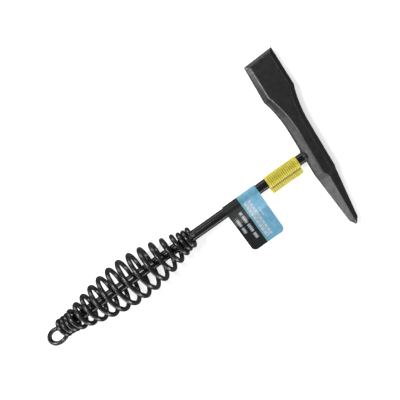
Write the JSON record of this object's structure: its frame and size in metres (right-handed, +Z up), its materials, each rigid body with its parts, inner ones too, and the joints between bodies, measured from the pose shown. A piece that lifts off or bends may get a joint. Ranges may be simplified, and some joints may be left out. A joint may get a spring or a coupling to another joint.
{
  "type": "chipping hammer",
  "caption": "All-steel chipping hammer with a flat chisel and a pointed pick on an octagonal head, a round rod shank and a barrel-shaped coil spring grip with a hanging loop.",
  "frame": {"origin": "centre of the head's flat underside, straight below the point where the shank's axis meets the head's", "axes": "+X along the shank from the grip to the head; +Y along the head towards the chisel; +Z up, square to both"},
  "size_m": [0.3379, 0.1786, 0.0471],
  "materials": {
    "head_paint": "satin black paint over a forged and ground bar",
    "shank_paint": "gloss black paint over drawn rod",
    "spring_paint": "gloss black paint over round wire",
    "weld_metal": "weld bead under thin, worn paint",
    "label_paper": "yellow printed paper",
    "card_stock": "printed and varnished card, blue and black"
  },
  "bodies": {
    "hammer": {"head": "head_paint", "shank": "shank_paint", "head_weld": "head_paint", "grip_spring": "spring_paint", "grip_welds": "weld_metal", "warning_label": "label_paper"},
    "tail": {"grip_tail": "spring_paint"},
    "card": {"swing_card": "card_stock"}
  },
  "joints": [
    {"name": "tail_slide", "type": "slide", "parent": "hammer", "child": "tail", "axis": [1, 0, 0], "range_m": [-0.006, 0.006], "stiffness_N_per_m": 8300, "deforming": ["grip_spring"]},
    {"name": "card_swing", "type": "hinge", "parent": "hammer", "child": "card", "pos_m": [-0.081, 0, 0.0097], "axis": [1, 0, 0], "continuous": true}
  ]
}
